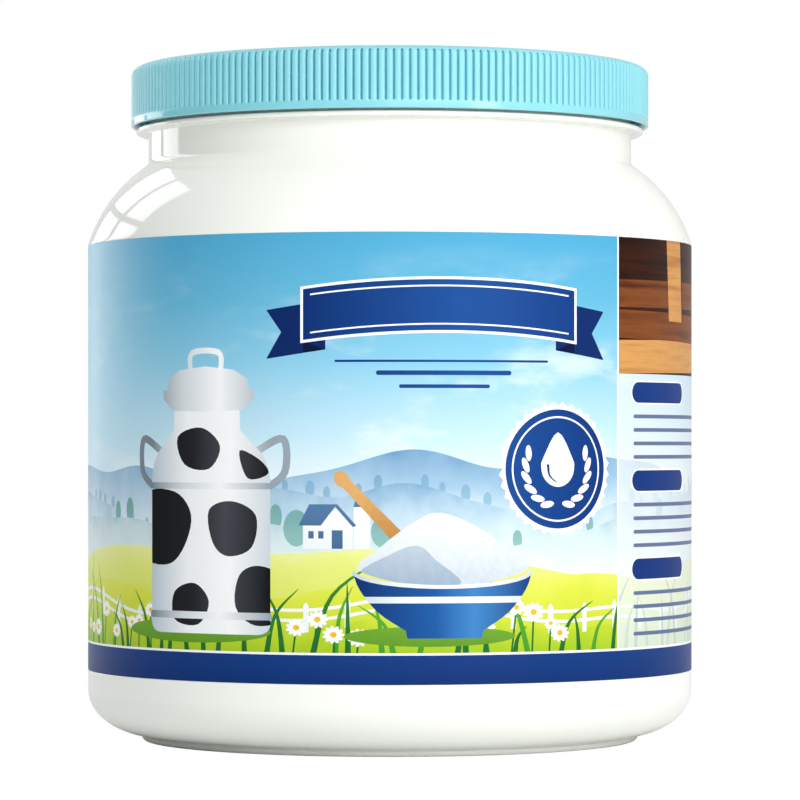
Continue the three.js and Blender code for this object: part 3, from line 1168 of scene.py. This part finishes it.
def add_area(name, size, radiance, azimuth, elevation, distance, aim_height=0.075):
    """A soft rectangular light on a sphere round the jar. Azimuth 0 is the camera's side, 90 the right."""
    light = bpy.data.lights.new(name, "AREA")
    light.shape = "RECTANGLE"
    light.size, light.size_y = size
    light.energy = radiance * math.pi * size[0] * size[1]
    lamp = bpy.data.objects.new(name, light)
    bpy.context.scene.collection.objects.link(lamp)
    a, e = math.radians(azimuth), math.radians(elevation)
    out = Vector((math.sin(a) * math.cos(e), -math.cos(a) * math.cos(e), math.sin(e)))
    lamp.location = out * distance + Vector((0, 0, aim_height))
    lamp.rotation_mode = "QUATERNION"
    lamp.rotation_quaternion = (-out).to_track_quat("-Z", "Y")
    lamp.visible_camera = False
    return lamp


# The window stands upright on the jar's left. Its two columns of panes reach from one azimuth to another.
WINDOW_FACES = -100.0
WINDOW_DISTANCE = 1.0
WINDOW_COLUMNS = ((-117.0, -134.0), (-137.6, -155.0))
WINDOW_ROWS = ((0.05, 0.56), (0.61, 1.1))
WINDOW_RADIANCE = 2.8


def make_window():
    """Tall panes whose crisp reflection runs down the left of the neck and shoulder."""
    along = math.radians(WINDOW_FACES - 90)
    for first, last in WINDOW_COLUMNS:
        near, far = (math.tan(math.radians(WINDOW_FACES - side)) * WINDOW_DISTANCE for side in (first, last))
        for low, high in WINDOW_ROWS:
            size = (abs(far - near), high - low)
            pane = add_area("window_pane", size, WINDOW_RADIANCE, WINDOW_FACES, 0, WINDOW_DISTANCE)
            pane.location += Vector((math.sin(along), -math.cos(along), 0)) * (near + far) / 2
            pane.location.z = (low + high) / 2


# Radiance of the studio, from straight away from the dark side to straight into it
DARK_SIDE = (-78.0, -10.0)
STUDIO_STOPS = (
    (0.0, (0.57, 0.57, 0.56, 1)),
    (0.5, (0.82, 0.82, 0.815, 1)),
    (0.65, (0.57, 0.58, 0.585, 1)),
    (0.825, (0.16, 0.175, 0.19, 1)),
    (1.0, (0.07, 0.08, 0.09, 1)),
)


def make_studio():
    """The room that the jar stands in, pale but for one dark side, and plain white to the camera."""
    world = bpy.data.worlds.new("studio")
    bpy.context.scene.world = world
    world.use_nodes = True
    world.cycles.sampling_method = "NONE"
    tree = world.node_tree
    azimuth, elevation = (math.radians(angle) for angle in DARK_SIDE)
    level = math.cos(elevation)
    side = (math.sin(azimuth) * level, -math.cos(azimuth) * level, math.sin(elevation))
    direction = add_node(tree, "TexCoord").outputs["Generated"]
    towards = add_node(tree, "VectorMath", {"operation": "DOT_PRODUCT"}, {0: direction, 1: side})
    inputs = {"Value": towards.outputs["Value"], "From Min": -1.0, "From Max": 1.0}
    share = add_node(tree, "MapRange", inputs=inputs).outputs["Result"]
    room = ramp(tree, share, STUDIO_STOPS)
    seen = add_node(tree, "LightPath").outputs["Is Camera Ray"]
    colour = mixed(tree, seen, room, plain(1))
    tree.links.new(colour, tree.nodes["Background"].inputs["Color"])


def make_lights():
    add_area("key", (1.1, 1.1), 2.75, 18, 27, 1.5)
    add_area("strip", (0.3, 1.2), 4.5, 42, 8, 1.5)
    make_window()
    make_studio()


def make_camera():
    data = bpy.data.cameras.new("camera")
    data.sensor_width = SENSOR
    data.lens = FOCAL_PIXELS * SENSOR / PICTURE_PIXELS
    data.shift_x = (PICTURE_PIXELS / 2 - AXIS_PIXEL) / PICTURE_PIXELS
    data.shift_y = (HORIZON_PIXEL - PICTURE_PIXELS / 2) / PICTURE_PIXELS
    camera = bpy.data.objects.new("camera", data)
    camera.location = (0, -CAMERA_DISTANCE * MM, CAMERA_HEIGHT * MM)
    camera.rotation_euler = (math.radians(90), 0, 0)
    bpy.context.scene.collection.objects.link(camera)
    bpy.context.scene.camera = camera


make_camera()
make_jar()
make_lid()
make_label()
add_floor("floor_seen", -0.0002, albedo=0.42, glow=0.8, seen=True)
add_floor("floor_bounce", -0.0001, albedo=0.93, glow=0.0, seen=False)
make_lights()
bpy.context.scene.view_settings.view_transform = "Standard"
